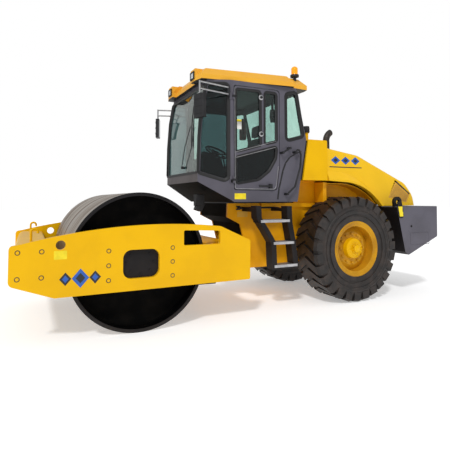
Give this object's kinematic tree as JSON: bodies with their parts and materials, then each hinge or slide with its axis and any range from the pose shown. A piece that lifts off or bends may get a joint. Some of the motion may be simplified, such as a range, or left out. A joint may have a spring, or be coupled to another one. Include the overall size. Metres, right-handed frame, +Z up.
{
  "type": "road roller",
  "caption": "Single-drum articulated soil roller with a smooth steel drum in a side-plate yoke, a glazed cab, rear lugged tyres and a sloping engine hood.",
  "frame": {"origin": "on the ground, in the middle of the overall length and width", "axes": "+Z up; the drum is at -X, the engine at +X; the machine's left side, with its door and ladder, is at -Y"},
  "size_m": [6.06, 2.3, 3.3599],
  "materials": {
    "yellow_paint": "satin yellow paint, dusty",
    "orange_paint": "satin orange-yellow roof",
    "grey_paint": "dark warm grey paint",
    "black_paint": "matt black paint",
    "drum_steel": "worn smooth steel with dried dirt",
    "chrome_rod": "ground chrome",
    "cast_steel": "dark cast steel",
    "tyre_rubber": "dusty rubber",
    "tinted_glass": "green tinted glass",
    "black_plastic": "matt plastic",
    "seat_cloth": "dark seat cloth",
    "amber_lens": "amber lens",
    "lamp_glass": "clear lens",
    "bright_steel": "galvanised steel"
  },
  "bodies": {
    "rear_frame": {"frame_side_left": "yellow_paint", "frame_side_right": "yellow_paint", "pivot_frame": "yellow_paint", "frame_decks": "black_paint", "frame_pins": "cast_steel", "rear_axle": "black_paint", "ballast": "grey_paint", "tie_lugs": "black_paint", "tank": "yellow_paint", "filler_neck": "yellow_paint", "engine": "cast_steel", "fenders": "yellow_paint", "cab_shell": "grey_paint", "cab_floor": "black_paint", "windshield": "tinted_glass", "cab_glass": "tinted_glass", "cab_mounts": "black_plastic", "roof": "orange_paint", "roof_lamps": "lamp_glass", "beacon_stand": "black_plastic", "beacon": "amber_lens", "seat_base": "black_plastic", "seat_cushion": "seat_cloth", "seat_back": "seat_cloth", "console": "black_plastic", "steering_wheel": "black_plastic", "mirrors": "black_plastic", "grab_rails": "black_plastic", "ladder": "black_paint"},
    "door": {"door": "grey_paint", "door_glass": "tinted_glass", "door_fittings": "black_plastic"},
    "hood": {"hood": "yellow_paint", "exhaust": "cast_steel"},
    "hitch": {"hitch": "cast_steel"},
    "front_frame": {"side_plate_left": "yellow_paint", "side_plate_right": "yellow_paint", "front_beam": "yellow_paint", "rear_beam": "yellow_paint", "tie_hooks": "yellow_paint", "scrapers": "black_paint", "drum_carriers": "black_paint"},
    "drum": {"drum_shell": "drum_steel", "drum_webs": "black_paint"},
    "wheel_left": {"tyre_left": "tyre_rubber", "wheel_left": "yellow_paint"},
    "wheel_right": {"tyre_right": "tyre_rubber", "wheel_right": "yellow_paint"},
    "steering_barrel_left": {"steering_barrel_left": "black_paint"},
    "steering_barrel_right": {"steering_barrel_right": "black_paint"},
    "steering_rod_left": {"steering_rod_left": "chrome_rod"},
    "steering_rod_right": {"steering_rod_right": "chrome_rod"}
  },
  "joints": [
    {"name": "steer", "type": "hinge", "parent": "rear_frame", "child": "hitch", "pos_m": [-0.19, 0, 0.72], "axis": [0, 0, 1], "range_deg": [-33, 33]},
    {"name": "roll", "type": "hinge", "parent": "hitch", "child": "front_frame", "pos_m": [-0.49, 0, 0.72], "axis": [1, 0, 0], "range_deg": [-10, 10]},
    {"name": "drum_spin", "type": "hinge", "parent": "front_frame", "child": "drum", "pos_m": [-1.74, 0, 0.765], "axis": [0, 1, 0], "continuous": true},
    {"name": "wheel_left_spin", "type": "hinge", "parent": "rear_frame", "child": "wheel_left", "pos_m": [1.37, -0.81, 0.745], "axis": [0, 1, 0], "continuous": true},
    {"name": "wheel_right_spin", "type": "hinge", "parent": "rear_frame", "child": "wheel_right", "pos_m": [1.37, 0.81, 0.745], "axis": [0, 1, 0], "continuous": true},
    {"name": "door_hinge", "type": "hinge", "parent": "rear_frame", "child": "door", "pos_m": [-0.458, -0.816, 2.2], "axis": [0, 0, -1], "range_deg": [0, 85]},
    {"name": "hood_hinge", "type": "hinge", "parent": "rear_frame", "child": "hood", "pos_m": [1.086, 0, 2.221], "axis": [0, -1, 0], "range_deg": [0, 50]},
    {"name": "steering_barrel_left_swing", "type": "hinge", "parent": "rear_frame", "child": "steering_barrel_left", "pos_m": [0.51, -0.33, 0.701], "axis": [0, 0, 1], "range_deg": [-8, 8]},
    {"name": "steering_rod_left_slide", "type": "slide", "parent": "steering_barrel_left", "child": "steering_rod_left", "axis": [-1, 0, 0], "range_m": [-0.19, 0.19]},
    {"name": "steering_barrel_right_swing", "type": "hinge", "parent": "rear_frame", "child": "steering_barrel_right", "pos_m": [0.51, 0.33, 0.701], "axis": [0, 0, 1], "range_deg": [-8, 8]},
    {"name": "steering_rod_right_slide", "type": "slide", "parent": "steering_barrel_right", "child": "steering_rod_right", "axis": [-1, 0, 0], "range_m": [-0.19, 0.19]}
  ],
  "couplings": [
    {"joint": "steering_barrel_left_swing", "follows": "steer", "ratio": 0.23},
    {"joint": "steering_rod_left_slide", "follows": "steer", "m_per_rad": -0.3217},
    {"joint": "steering_barrel_right_swing", "follows": "steer", "ratio": 0.23},
    {"joint": "steering_rod_right_slide", "follows": "steer", "m_per_rad": 0.3217}
  ]
}
